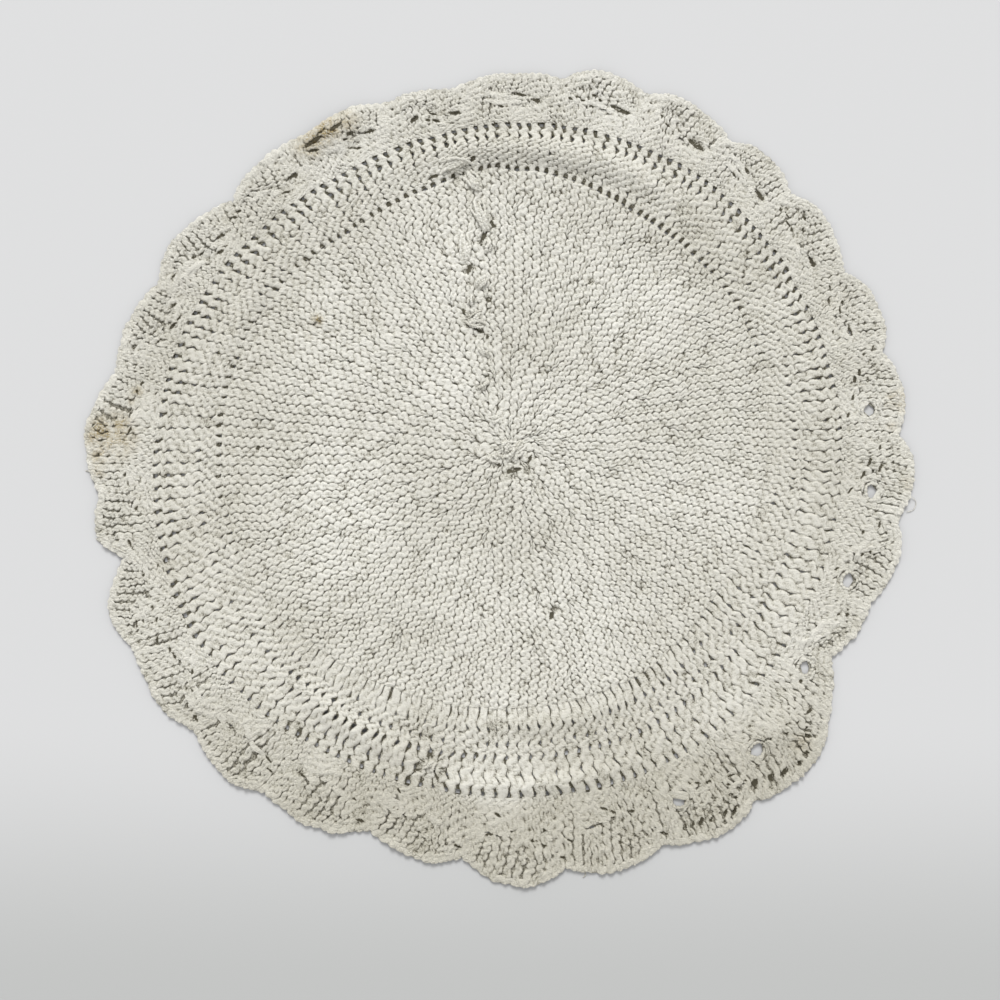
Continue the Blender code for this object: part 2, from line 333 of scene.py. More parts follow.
def ribSurface(lay, rib, along, stitch, wide, relief, uneven, foot=None, keep=None, smooth=None, slits=()):
    # rib (n,), along, stitch, wide and foot (n, rows); uneven is (lobes, crests, gaps, joins) at each row;
    # gives verts in mm, faces and painted shade, darker the lower the yarn lies
    edge = np.array(weave[relief["edges"]])[None, None, :]
    count, rows, columns = along.shape[0], along.shape[1], edge.shape[2]
    shape3 = (count, rows, columns)
    stitch = stitch[..., None]
    dome = np.zeros(shape3)
    tight = 1 - relief["gap"] * uneven[2][..., None]
    for side, late in ((-0.5, 0.0), (0.5, 0.5)):
        off = stitch - late + relief["lean"] * (edge - side)
        off = off - np.round(off)
        far = (off / (relief["half"] * tight)) ** 2 + ((edge - side) / (relief["broad"] * tight)) ** 2
        dome = np.maximum(dome, np.sqrt(np.clip(1 - far, 0, 1)))
    if smooth is not None:
        flat = smooth[1][..., None] * (1 - edge ** 2) ** 0.6
        dome = dome + (flat - dome) * smooth[0][..., None]
    body = relief["body"] * (1 - np.abs(edge) ** 3)
    high = body + (1 - body) * dome ** relief["plump"] * np.clip(uneven[0][..., None], weave["leastLobe"], 1)
    meet = np.clip(np.cos(2 * np.pi * (stitch - relief["meet"])), 0, 1) ** 0.6
    high = np.maximum(high, relief["bridge"] * meet * uneven[3][..., None] * np.abs(edge) ** 1.5)
    across = wide[..., None] * (edge - relief["sway"] * np.cos(2 * np.pi * stitch))
    reach = np.broadcast_to(along[..., None], shape3)
    lane = np.broadcast_to(rib[:, None, None], shape3)
    x, y = lay(lane, across, reach)
    low = relief["foot"] if foot is None else foot[..., None]
    tall = (relief["crest"] - low) * (1 + relief["lumpy"] * tufts(x, y)) + uneven[1][..., None]
    tall = tall * (1 - marked(x, y, flaws["loose"]))
    z = low + tall * high + dice.normal(0, weave["rough"], shape3)
    deep = slitDepth(x, y, flaws["slits"] + list(slits))
    z = np.maximum(z - weave["slitDrop"] * deep, np.minimum(z, weave["lowest"]))
    # painted shade: the lower the yarn lies, the darker its colour, so grooves and pits are painted dark
    shade = (z - relief["foot"]) / (relief["crest"] - relief["foot"]) + relief["tone"]
    mottled = tufts(y * weave["mottleScale"] + weave["mottleShift"], x * weave["mottleScale"])
    # slitShade paints shade into the slits
    shade = shade - weave["slitShade"] * deep + weave["mottle"] * mottled
    verts = np.stack([x, y, z + lift(x, y)], -1).reshape(-1, 3)
    spot = np.arange(count * rows * columns).reshape(shape3)
    faces = np.stack([spot[:, :-1, :-1], spot[:, 1:, :-1], spot[:, 1:, 1:], spot[:, :-1, 1:]], -1)
    if keep is not None:
        faces = faces[keep[:, :-1] & keep[:, 1:]]
    return verts, faces.reshape(-1, 4), shade.reshape(-1)


# dirt and stains, with painted shade: the border darker low down and at the bottom, where the light falls
# off
dirtAndShade = dict(
    stainsAndShadow=[  # brown stains, and the painted shadow under the curled rim: x, y, radius, how strong
        (-226, 18, 9, 1), (-221, 15, 14, 0.8), (-217, 21, 6, 0.9), (-231, 13, 6, 0.9), (-228, 4, 6, 0.8),
        (-229, -5, 5, 0.6), (-207, 39, 4, 0.8), (-210, 34, 3, 0.5), (-107.5, 79, 4, 1), (-112, 71, 3, 0.4),
        # (-111, 178), (-101, 185) and (-91, 188): painted shadow under the curled rim, with some stain
        (218, 34, 7, 0.9), (222, -12, 5, 0.3), (-111, 178, 9, 1), (-101, 185, 9, 1), (-91, 188, 8, 0.8),
        (163, -156, 7, 0.35), (214, 20, 4, 0.3), (-190, -60, 9, 0.12),
    ],
    stainAndShadowSpread=1.5, stainAndShadowScale=1.7, broken=(0.75, 0.5, 0.2),  # the tufts break the marks up
    overall=0.24, patchy=0.15,
    worn=(0.22, -8, 75, 95, 130),  # how much less, x, half width, y, half height
    border=(130, 25), rim=(180, 15),  # mm out where each starts, and over how many it grows
    # low, bottom and leftLess shape the painted shade: darker towards the bottom, less so on the left
    top=(110, 70), low=(80, 100), bottom=(150, 60), left=(50, 60),  # mm up, down and to the left
    borderShades=(0.18, -0.1, 0.16),  # everywhere, at the top and low down
    rimShades=(0.05, 0.28, 0.3),  # everywhere, low down and at the bottom
    leftLess=0.4,
)
patches = waves(61, 14, 160, 30)


def stainedAndShadowed(x, y):
    scale, (middle, swing, least) = dirtAndShade["stainAndShadowScale"], dirtAndShade["broken"]
    broken = np.clip(middle + swing * tufts(x * scale, y * scale), least, 1)
    return marked(x, y, dirtAndShade["stainsAndShadow"], dirtAndShade["stainAndShadowSpread"]) * broken


def growing(along, span):
    start, over = span
    return ease((along - start) / over)


def soiledAndShaded(x, y):
    # the border is darker and warmer than the disc from dirt, and painted shade darkens it low down, most of
    # all at the bottom, where the light falls off
    far = np.hypot(x, y)
    low = growing(-y, dirtAndShade["low"]) * (1 - dirtAndShade["leftLess"] * growing(-x, dirtAndShade["left"]))
    much, wornX, wornWide, wornY, wornHigh = dirtAndShade["worn"]
    worn = much * bump((x - wornX) / wornWide) * bump((y - wornY) / wornHigh)
    plain, atTop, atLow = dirtAndShade["borderShades"]
    border = growing(far, dirtAndShade["border"]) * (plain + atTop * growing(y, dirtAndShade["top"]) + atLow * low)
    plain, atLow, atBottom = dirtAndShade["rimShades"]
    rim = growing(far, dirtAndShade["rim"]) * (plain + atLow * low + atBottom * growing(-y, dirtAndShade["bottom"]))
    return np.clip(dirtAndShade["overall"] - worn + border + rim + dirtAndShade["patchy"] * patches(x, y), 0, 1)


def joinSurfaces(parts):
    verts, faces, shade, done = [], [], [], 0
    for v, f, tone in parts:
        used, f = np.unique(f, return_inverse=True)
        f = f.reshape(-1, 4)
        verts.append(v[used])
        faces.append(f + done)
        shade.append(tone[used])
        done += len(used)
    return np.concatenate(verts), np.concatenate(faces), np.concatenate(shade)


def makeMesh(name, verts, faces, shade):
    mesh = bpy.data.meshes.new(name)
    spots = (verts - (*clothMiddle, 0)) * mm
    mesh.vertices.add(len(spots))
    mesh.vertices.foreach_set("co", spots.ravel())
    if isinstance(faces, list):  # triangles among the quads
        sizes = np.array([len(face) for face in faces])
        corners = np.concatenate(faces)
    else:
        sizes = np.full(len(faces), 4)
        corners = faces.ravel()
    mesh.loops.add(len(corners))
    mesh.loops.foreach_set("vertex_index", corners)
    mesh.polygons.add(len(sizes))
    mesh.polygons.foreach_set("loop_start", np.cumsum(sizes) - sizes)
    mesh.update(calc_edges=True)
    mesh.validate()
    mesh.shade_smooth()
    tones = dict(shade=shade, soilAndShade=soiledAndShaded(verts[:, 0], verts[:, 1]), stainAndShadow=stainedAndShadowed(verts[:, 0], verts[:, 1]))
    for tone, values in tones.items():
        mesh.attributes.new(tone, "FLOAT", "POINT").data.foreach_set("value", values)
    plan = mesh.uv_layers.new(name="OFBake")
    flat = (spots[corners, :2] + 0.25) * 2
    plan.uv.foreach_set("vector", flat.ravel())
    piece = addObject(name, mesh)
    mesh.materials.append(cottonYarn)
    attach(piece, "root")
    print(name, int((sizes - 2).sum()), "triangles")
    return piece


cotton = dict(
    stops=[  # painted shade, from the dark grooves to the light crests
        (0.06, (0.12, 0.11, 0.08)), (0.36, (0.62, 0.6, 0.525)),
        (0.66, (0.82, 0.805, 0.735)), (1, (0.845, 0.83, 0.765)),
    ],
    soilAndShade=(0.69, 0.675, 0.63), stainAndShadow=(0.5, 0.385, 0.175), tornFrom=0.3, torn=3.5,
    rough=0.95, gloss=0.15, fleck=1.15, fuzz=(0.85, 3), fibre=(0.35, 2),  # size in mm, detail
    bump=0.8, bumpHigh=0.0016, fibreShare=0.6,
)


def noiseNode(tree, spot, size, detail):
    made = tree.nodes.new("ShaderNodeTexNoise")
    made.inputs["Scale"].default_value = 1 / (size * mm)
    made.inputs["Detail"].default_value = detail
    tree.links.new(spot, made.inputs["Vector"])
    return made.outputs["Fac"]


def feed(tree, socket, value):
    # an input is linked to another node's output or set to a value
    if isinstance(value, bpy.types.NodeSocket):
        tree.links.new(value, socket)
    else:
        socket.default_value = value


def mathNode(tree, kind, one, other):
    made = tree.nodes.new("ShaderNodeMath")
    made.operation = kind
    feed(tree, made.inputs[0], one)
    feed(tree, made.inputs[1], other)
    return made.outputs["Value"]


def blendNode(tree, kind, amount, one, other):
    made = tree.nodes.new("ShaderNodeMix")
    made.data_type = "RGBA"
    made.blend_type = kind
    for name, value in (("Factor", amount), ("A", one), ("B", other)):
        feed(tree, made.inputs[name], value)
    return made.outputs["Result"]


def pointValue(tree, name):
    made = tree.nodes.new("ShaderNodeAttribute")
    made.attribute_name = name
    return made.outputs["Fac"]


def cottonMaterial():
    # painted shade runs from the dark grooves to the light crests, and the fuzz breaks it up
    material = bpy.data.materials.new("cotton yarn")
    material.use_nodes = True
    tree = material.node_tree
    link = tree.links.new
    shader = tree.nodes["Principled BSDF"]
    shader.inputs["Roughness"].default_value = cotton["rough"]
    shader.inputs["Specular IOR Level"].default_value = cotton["gloss"]
    spot = tree.nodes.new("ShaderNodeTexCoord").outputs["Object"]
    fuzz = noiseNode(tree, spot, *cotton["fuzz"])
    fibre = noiseNode(tree, spot, *cotton["fibre"])
    speckle = mathNode(tree, "MULTIPLY", mathNode(tree, "SUBTRACT", fuzz, 0.5), cotton["fleck"])
    tone = mathNode(tree, "ADD", pointValue(tree, "shade"), speckle)
    ramp = tree.nodes.new("ShaderNodeValToRGB")
    stops = ramp.color_ramp.elements
    for stop, (at, tint) in zip(stops, (cotton["stops"][0], cotton["stops"][-1])):
        stop.position = at
        stop.color = (*tint, 1)
    for at, tint in cotton["stops"][1:-1]:
        stops.new(at).color = (*tint, 1)
    link(tone, ramp.inputs["Fac"])
    colour = ramp.outputs["Color"]
    torn = mathNode(tree, "MULTIPLY", mathNode(tree, "SUBTRACT", fuzz, cotton["tornFrom"]), cotton["torn"])
    soilAndShade, stainAndShadow = pointValue(tree, "soilAndShade"), mathNode(tree, "MULTIPLY", pointValue(tree, "stainAndShadow"), torn)
    # dirt, and the painted shade towards the bottom, darken the colour
    colour = blendNode(tree, "MULTIPLY", soilAndShade, colour, (*cotton["soilAndShade"], 1))
    # stains, and the painted shadow under the curled rim, darken it brown
    colour = blendNode(tree, "MULTIPLY", stainAndShadow, colour, (*cotton["stainAndShadow"], 1))
    link(colour, shader.inputs["Base Color"])
    raised = tree.nodes.new("ShaderNodeBump")
    raised.inputs["Strength"].default_value = cotton["bump"]
    raised.inputs["Distance"].default_value = cotton["bumpHigh"]
    finer = mathNode(tree, "MULTIPLY", fibre, cotton["fibreShare"])
    link(mathNode(tree, "ADD", fuzz, finer), raised.inputs["Height"])
    link(raised.outputs["Normal"], shader.inputs["Normal"])
    return material


cottonYarn = cottonMaterial()

# the disc's ribs, in garter stitch
garter = ribRelief(
    half=0.51, broad=0.555, body=0.34, lean=0.14, sway=0.09, lumpy=0.12,
    crest=2.85, foot=1.05, bridge=0.62, gap=0.26, tone=-0.03,
)


# how uneven the stitches are: their spacing, lobes, gaps, crests and joins to the next rib
hand = dict(
    spacing=0.08, lobes=0.2, gapsFrom=1, mostGap=1.2, crests=0.12, join=0.8, joins=0.3, mostJoin=1.1,
    roundOver=1.8, leastEnd=0.4,  # a rib's end: mm over which it fills out, and how low it starts
)


def stitchNoise(seed, count, stitches, size):
    # one soft random value for each stitch of each rib, read at any stitch number
    made = draws(seed).normal(0, size, (count, stitches + 2))

    def at(stitch):
        low = np.clip(stitch.astype(int), 0, stitches)
        return between(made, np.arange(count)[:, None], low, np.clip(stitch - low, 0, 1))

    return at


def unevenStitches(seed, count, long, stitch):
    # the stitch numbers shaken a little, and the lobes, crests, gaps and joins that ribSurface reads
    def noise(step, size):
        return stitchNoise(seed + step, count, long, size)(stitch)

    shaken = stitch + noise(0, hand["spacing"])
    lobes = 1 - np.abs(noise(1, hand["lobes"])) ** 1.2
    gaps = np.clip(np.abs(noise(5, 1.0)) - hand["gapsFrom"], 0, hand["mostGap"])
    crests = hand["crests"] * noise(2, 1.0)
    joins = np.clip(hand["join"] + noise(6, hand["joins"]), 0, hand["mostJoin"])
    return shaken, (lobes, crests, gaps, joins)


def roundEnd(far, over=hand["roundOver"], least=hand["leastEnd"]):
    # how full a rib is so many mm from its end
    return np.sqrt(np.clip(1 - (1 - np.clip(far / over, 0, 1)) ** 2, least, 1))


def discYarn():
    many = disc["stitches"] * disc["rows"] + 1
    reach = np.broadcast_to(np.linspace(disc["inner"], 1.0, many), (lanes, many))
    stitch, uneven = unevenStitches(7, lanes, disc["stitches"], reach * disc["stitches"])
    keep = reach >= (discStart + disc["shownFrom"] * disc["softness"])[:, None]
    uneven = (uneven[0] * roundEnd((1 - reach) * disc["mmPerReach"]), *uneven[1:])
    pieces, parts = [], disc["parts"]
    for part in range(parts):
        some = slice(part * lanes // parts, (part + 1) * lanes // parts)
        made = ribSurface(
            discPlace, np.arange(lanes)[some], reach[some], stitch[some], np.full(reach[some].shape, 0.5),
            garter, [field[some] for field in uneven], keep=keep[some],
        )
        pieces.append(makeMesh("disc_yarn_%d" % (part + 1), *joinSurfaces([made])))
    return pieces


yarnPieces = discYarn()
print("disc done")

# the net, from the first row of eyelets to the last
net = dict(
    start=0.997, end=2.06, step=0.2, perBand=13, past=9, stitches=18, stitchesPerBand=1.5, mmPerReach=210,
    rows=[  # each row of eyelets: how far the ribs draw in, half its length, its lean and shift
        (0.31, 0.1, -0.24, 0.026), (0.28, 0.04, 0.14, 0), (0.3, 0.044, -0.08, 0),
        (0.3, 0.056, -0.2, 0), (0.29, 0.08, 0.24, 0), (0.3, 0.088, 0.18, -0.004),
    ],
    open=[  # how open each row lies, every 30 degrees
        (0.15, 0.3, 0.4, 0.3, 0.3, 0.4), (0.7, 0.3, 0.4, 0.25, 0.7, 0.85),
        (1.15, 0.3, 0.2, 0.25, 0.75, 0.95), (1.3, 0.4, 0.2, 0.25, 0.75, 1.1),
        (0.9, 0.4, 0.3, 0.3, 0.7, 0.85), (0.6, 0.25, 0.25, 0.35, 0.6, 0.75),
        (0.6, 0.3, 0.45, 0.3, 0.4, 0.65), (0.2, 0.35, 0.4, 0.3, 0.3, 0.65),
        (0.2, 0.35, 0.65, 0.8, 0.4, 0.7), (0.25, 0.5, 0.4, 0.55, 0.3, 0.7),
        (0.35, 0.6, 0.45, 0.6, 0.25, 0.5), (0.3, 0.55, 0.35, 0.5, 0.25, 0.3),
    ],
    smooth=[  # how smooth the bands between the rows are, every 30 degrees
        (0.6, 0, 0.1, 0.5, 0.3), (0.1, 0, 0, 0.2, 0.1), (0.2, 0, 0, 0.2, 0.2), (0, 0, 0, 0, 0),
        (0.2, 0.1, 0.1, 0.3, 0.3), (0.1, 0, 0.2, 0.4, 0.2), (0.3, 0, 0.2, 0.5, 0.3),
        (0.9, 0, 0.2, 0.8, 0.6), (0.9, 0, 0.4, 0.4, 0.5), (0.9, 0, 0.5, 0.9, 0.8), (0.9, 0, 0.3, 0.8, 0.7),
        (0.9, 0, 0.3, 0.9, 0.6),
    ],
    relief=ribRelief(
        half=0.5, broad=0.58, body=0.12, lean=0.36, sway=0.12, lumpy=0.15,
        crest=2.8, foot=0.9, bridge=0.62, gap=0.24, tone=-0.01,
    ),
    bandFoot=1.12, uneven=0.2, openLimits=(0.05, 1.3), bend=0.1, shake=0.03, flat=0.42,
    wide=0.525, drawLong=1.6, drawMore=0.08, mostDraw=0.75,
    strandFrom=1.3, strandFlat=0.85, strandHigh=(0.48, 0.34),  # beside an eyelet a rib is one strand
)


def netYarn():
    many = netBands * net["perBand"] + net["past"]
    ribs = np.arange(lanes)
    reach = np.broadcast_to(np.linspace(net["start"], net["end"], many), (lanes, many))
    row = (reach - 1) / net["step"]
    count = row * net["stitchesPerBand"]
    stitch, uneven = unevenStitches(17, lanes, net["stitches"], count)
    # the ribs draw in, lean and lie low beside each eyelet
    nearest = np.clip(np.round(row), 0, netBands).astype(int)
    draw, half, lean, later = np.moveaxis(np.array(net["rows"])[nearest], -1, 0)
    off = (reach - 1 - nearest * net["step"] - later) / half / net["drawLong"]
    turns = laneTurn(ribs + 0.5)
    each = ribs[:, None]
    gape = aroundTable(net["open"], turns)
    gape = np.clip(gape + draws(21).normal(0, net["uneven"], gape.shape), *net["openLimits"])
    band = np.clip(np.floor(row), 0, netBands - 1).astype(int)
    inBand = np.clip(np.sin(np.pi * np.clip(row - band, 0, 1)), 0, 1)
    smooth = net["flat"] * np.clip(aroundTable(net["smooth"], turns), 0, 1)[each, band] * inBand
    shaking = stitchNoise(41, lanes, net["stitches"], net["shake"])(count)
    near = bump(off) * gape[each, nearest]
    wide = net["wide"] * (1 - np.clip(near * (draw + net["drawMore"]), 0, net["mostDraw"]))
    foot = net["bandFoot"] + (net["relief"]["foot"] - net["bandFoot"]) * near
    strand = np.clip(net["strandFrom"] * near, 0, 1)
    lobes = uneven[0] * roundEnd((reach - net["start"]) * net["mmPerReach"])
    uneven = (lobes, uneven[1], uneven[2], uneven[3] * (1 - strand))
    low, more = net["strandHigh"]
    plain = (np.maximum(smooth, net["strandFlat"] * strand), low + more * strand)

    def leaning(lane, across, along):
        aside = (lean * off * bump(off) + net["bend"] * smooth + shaking)[:, :, None]
        return ringPlace(lane, across + aside, along)

    made = ribSurface(leaning, ribs, reach, stitch, wide, net["relief"], uneven, foot, smooth=plain)
    return makeMesh("net_yarn", *joinSurfaces([made]))


yarnPieces.append(netYarn())
print("net done")

# The edging. One chart serves every leaf. A rib runs through points of (share of the leaf, reach),
# from its eyelet to the next one's, and is so many mm wide where a leaf spans fullDeg.
narrow = dict(edges="narrow", broad=0.9, body=0.3)
edging = dict(
    stitch=4.4, step=0.6, fullDeg=13.2, roundOver=2.2, leastEnd=0.05, endWide=0.55,
    aside=0.06, share=dict(swirl=0.4, spine=0.35),  # share of the leaves with such strands
    shareSway=0.026, reachSway=0.028, sways=8, swaysPerLeaf=5, swayBefore=0.3,  # no leaf is like another
    slotted=0.4, slotSway=0.012, slotSizes=((1.2, 0.5, 0.2), (2.8, 1, 1)), slotRun=(0.02, 0.012),
    slots=[  # (share of the leaf, reach) of the slots along the spine
        (0.56, 2.45), (0.47, 2.42), (0.37, 2.385), (0.27, 2.34), (0.17, 2.28), (0.07, 2.22), (-0.03, 2.16),
        (0.28, 2.5), (0.44, 2.51), (0.6, 2.57), (0.36, 2.57), (0.52, 2.61), (0.66, 2.68), (-0.3, 2.62),
        (-0.12, 2.47), (0.7, 2.82), (0.5, 2.72),
    ],
    chart=dict(
        smooth=[  # the leaf's base, smooth and low
            (5.6, [(-0.06, 2.03), (-0.07, 2.2), (-0.1, 2.41)]),
            (5.6, [(0.04, 2.03), (0.04, 2.2), (0.02, 2.42)]),
            (5.6, [(0.14, 2.03), (0.14, 2.18), (0.11, 2.45)]),
            (5.4, [(0.23, 2.03), (0.23, 2.18), (0.22, 2.38)]),
        ],
        garter=[
            # the leaf's inner ribs
            (4, [(0.315, 2.03), (0.31, 2.2), (0.3, 2.44), (0.29, 2.6)]),
            (4, [(0.395, 2.03), (0.39, 2.2), (0.38, 2.45), (0.375, 2.7)]),
            (4, [(0.475, 2.03), (0.47, 2.2), (0.46, 2.46), (0.455, 2.74)]),
            (4, [(0.555, 2.03), (0.55, 2.22), (0.54, 2.48), (0.535, 2.76)]),
            (4, [(0.635, 2.03), (0.63, 2.24), (0.615, 2.5), (0.605, 2.74)]),
            # the ribs that run on to the rim
            (4.1, [(0.715, 2.03), (0.71, 2.3), (0.68, 2.6), (0.63, 3)]),
            (4, [(0.795, 2.03), (0.785, 2.3), (0.76, 2.6), (0.71, 3)]),
            (4, [(0.875, 2.03), (0.86, 2.3), (0.84, 2.6), (0.79, 3)]),
            # the fan above the leaf's eyelet
            (4.1, [(-0.17, 2.46), (-0.19, 2.7), (-0.23, 3)]),
            (3.8, [(-0.075, 2.49), (-0.1, 2.72), (-0.155, 3)]),
            (3.8, [(-0.005, 2.51), (-0.02, 2.72), (-0.08, 3)]),
            (3.8, [(0.065, 2.47), (0.055, 2.72), (-0.005, 3)]),
            (4, [(0.165, 2.36), (0.14, 2.62), (0.07, 3)]),
            (4, [(0.25, 2.42), (0.22, 2.66), (0.145, 3)]),
            (3.8, [(0.32, 2.6), (0.29, 2.76), (0.225, 3)]),
            (3.8, [(0.4, 2.7), (0.37, 2.82), (0.305, 3)]),
            (3.8, [(0.48, 2.74), (0.45, 2.86), (0.385, 3)]),
            (3.8, [(0.56, 2.76), (0.53, 2.88), (0.465, 3)]),
            (3.8, [(0.63, 2.74), (0.6, 2.86), (0.55, 3)]),
        ],
        swirl=[  # the long strands that swirl into the leaf
            (2.6, [(0.2, 2.42), (0.34, 2.43), (0.48, 2.49), (0.62, 2.55)]),
            (2.4, [(0.26, 2.52), (0.4, 2.545), (0.54, 2.62)]),
            (2.4, [(0.4, 2.6), (0.54, 2.67), (0.64, 2.7)]),
        ],
        rim=[  # the worked edge
            (3.6, [(-0.36, 2.955), (-0.2, 2.965), (-0.02, 2.965), (0.16, 2.955)]),
            (3.6, [(0.16, 2.955), (0.32, 2.955), (0.48, 2.965), (0.64, 2.955)]),
        ],
        lip=[  # two soft strands beside the eyelet
            (3.6, [(0.05, 2.5), (-0.02, 2.525), (-0.1, 2.52), (-0.2, 2.49)]),
            (3.4, [(0.07, 2.43), (-0.01, 2.415), (-0.1, 2.435), (-0.21, 2.43)]),
        ],
        spine=[  # the spine, long stitches end to end
            (3, [(0.52, 2.455), (0.42, 2.43), (0.33, 2.4)]),
            (3, [(0.3, 2.375), (0.2, 2.32), (0.11, 2.26)]),
            (3, [(0.1, 2.26), (0.02, 2.2), (-0.06, 2.14)]),
        ],
    ),
    garter=ribRelief(
        half=0.51, broad=0.555, body=0.38, lean=0.14, sway=0.11, lumpy=0.2,
        crest=2.9, foot=1, bridge=0.6, gap=0.26,
    ),
    rim=ribRelief(**narrow, half=0.6, plump=0.7, lean=0.2, sway=0.16, lumpy=0.35, crest=2.5, foot=0.6),
    smooth=ribRelief(
        half=0.53, broad=0.58, body=0.36, lean=0.3, sway=0.12, lumpy=0.2,
        crest=2.65, foot=0.95, bridge=0.6, gap=0.2,
    ),
    swirl=ribRelief(**narrow, half=0.7, lean=0.5, sway=0.22, lumpy=0.5, crest=2.75, foot=1),
    lip=ribRelief(**narrow, half=0.65, lean=0.3, sway=0.2, lumpy=0.3, crest=2.45, foot=0.9, tone=-0.12),
    spine=ribRelief(**narrow, half=0.75, lean=0.4, sway=0.2, lumpy=0.5, crest=2.7, foot=1),
)
leafSways = [draws(seed).normal(0, 1, (len(leaves), edging["sways"])) for seed in (71, 72)]


def edgingPoint(leaf, share, reach):
    # the ribs sway most halfway out to the rim
    spot = np.clip((share + edging["swayBefore"]) * edging["swaysPerLeaf"], 0, edging["sways"] - 1.001)
    low = spot.astype(int)
    side, out = (between(sway, leaf, low, ease(spot - low)) for sway in leafSways)
    free = bump((reach - 2.5) / 0.5)
    reach = reach + edging["reachSway"] * out * free
    turn = leafDeg[leaf] + (share + edging["shareSway"] * side * free) * leafWide[leaf]
    inner = aroundTable(shape["rows"], turn)[..., netBands]
    radius = inner + (rimRadius(turn) - inner) * (reach - 2)
    angle = np.radians(turn)
    return radius * np.cos(angle), radius * np.sin(angle)


eyelets = dict(
    reach=2.47,
    gape=[  # how far each leaf's eyelet gapes
        0.9, 0.3, 0.1, 0.2, 0.3, 0.1, 0.1, 0.2, 0.1, 0.1, 0.2, 0.1, 0.1,
        0.2, 0.1, 0.1, 0.2, 0.1, 0.2, 0.1, 0.2, 1, 1.3, 1.2, 0.9, 1,
    ],
    gapesFrom=0.7,  # above this the table shows through, below it the eyelet is a pinched slit
    push=3.3, pushFar=9, pushSoft=0.5, clear=2.8,  # mm that the ribs make room
    widen=0.34, lengthen=2, shorten=0.45,  # the hole in the ground, in lanes and times its reach
    ring=(5, 4.1), ringSway=0.3, ringHigh=(1.3, 2), ringThick=(1.7, 2.2),  # mm of the yarn round it
    ringStarts=(20, 140, 260), ringShake=(-15, 15), ringTurns=(0, 170, 7),  # deg where its strands run
    slitSizes=((2.4, 0.65, 0.8), (4.4, 1.05, 1.1)), slant=12, tight=range(12, 21), tightness=0.65,
)
gaping = np.array(eyelets["gape"]) > eyelets["gapesFrom"]


def spineMarks():
    # slits, sunk and painted dark with shade, for the pinched eyelets and short ones along each leaf's spine
    made = draws(83)
    found, ends = [], np.array([-1, 1])
    for leaf in leaves:
        x, y = edgingPoint(np.array([leaf]), np.array([0.0]), np.array([eyelets["reach"]]))
        eye = made.uniform(*eyelets["slitSizes"])
        slant = made.normal(0, eyelets["slant"])
        if leaf in eyelets["tight"]:
            eye *= eyelets["tightness"]
        if not gaping[leaf]:
            found.append((x[0], y[0], leafDeg[leaf] + 90 + slant, *eye))
        for share, reach in edging["slots"]:
            share, reach = (value + made.normal(0, edging["slotSway"]) for value in (share, reach))
            along, out = edging["slotRun"]
            x, y = edgingPoint(np.array([leaf] * 2), share + along * ends, reach + out * ends)
            turn = math.degrees(math.atan2(y[1] - y[0], x[1] - x[0]))
            size = made.uniform(*edging["slotSizes"])
            if made.random() < edging["slotted"]:
                found.append((x.mean(), y.mean(), turn, *size))
    return found


def fromEye(leaf, x, y):
    eyeX, eyeY = place(leaf * shape["lanesPerLeaf"], np.full(x.shape, eyelets["reach"]))
    return x - eyeX, y - eyeY


def chartRib(points):
    # a lay function along one rib of the chart: t from 0 to 1, across in mm
    shares, reaches = np.array(points).T
    steps = np.linspace(0, 1, len(points))

    def at(leaf, t):
        return edgingPoint(leaf, np.interp(t, steps, shares), np.interp(t, steps, reaches))

    def lay(leaf, across, t):
        t = np.clip(t, 0, 1)
        x, y = at(leaf, t)
        x0, y0 = at(leaf, t - edging["aside"])
        x1, y1 = at(leaf, t + edging["aside"])
        far = np.hypot(x1 - x0, y1 - y0) + 1e-9
        x, y = swayed(x - across * (y1 - y0) / far, y + across * (x1 - x0) / far)
        awayX, awayY = fromEye(leaf, x, y)
        far = np.hypot(awayX, awayY)
        push = eyelets["push"] * np.array(eyelets["gape"])[leaf] * bump(far / eyelets["pushFar"])
        push = push / (far + eyelets["pushSoft"])
        return x + awayX * push, y + awayY * push

    t = np.linspace(0, 1, 9)
    x, y = at(np.zeros(9, int), t)
    return lay, float(np.hypot(np.diff(x), np.diff(y)).sum())


def edgingYarn():
    parts = []
    slits = spineMarks()
    ribs = [(kind, *rib) for kind, drawn in edging["chart"].items() for rib in drawn]
    for number, (kind, wide, points) in enumerate(ribs):
        lay, long = chartRib(points)
        many = round(long / edging["step"]) + 1
        t = np.broadcast_to(np.linspace(0, 1, many), (len(leaves), many))
        top = int(long / edging["stitch"]) + 2
        stitch, uneven = unevenStitches(30 + 3 * number, len(leaves), top, t * long / edging["stitch"])
        rounded = roundEnd(np.minimum(t, 1 - t) * long, edging["roundOver"], edging["leastEnd"])
        half = wide / 2 * leafWide[:, None] / edging["fullDeg"]
        half = half * (edging["endWide"] + (1 - edging["endWide"]) * rounded)
        there = draws(200 + number).random(len(leaves)) < edging["share"].get(kind, 1)
        each = np.broadcast_to(leaves[:, None], t.shape)
        hole = np.hypot(*fromEye(each, *lay(each, 0.0, t))) < eyelets["clear"] + half
        keep = there[:, None] & ~(hole & gaping[:, None])
        parts.append(ribSurface(lay, leaves, t, stitch, half, edging[kind], uneven, keep=keep, slits=slits))
    half = len(parts) // 2
    return [
        makeMesh("edging_yarn_1", *joinSurfaces(parts[:half])),
        makeMesh("edging_yarn_2", *joinSurfaces(parts[half:])),
    ]


yarnPieces += edgingYarn()
print("edging done")

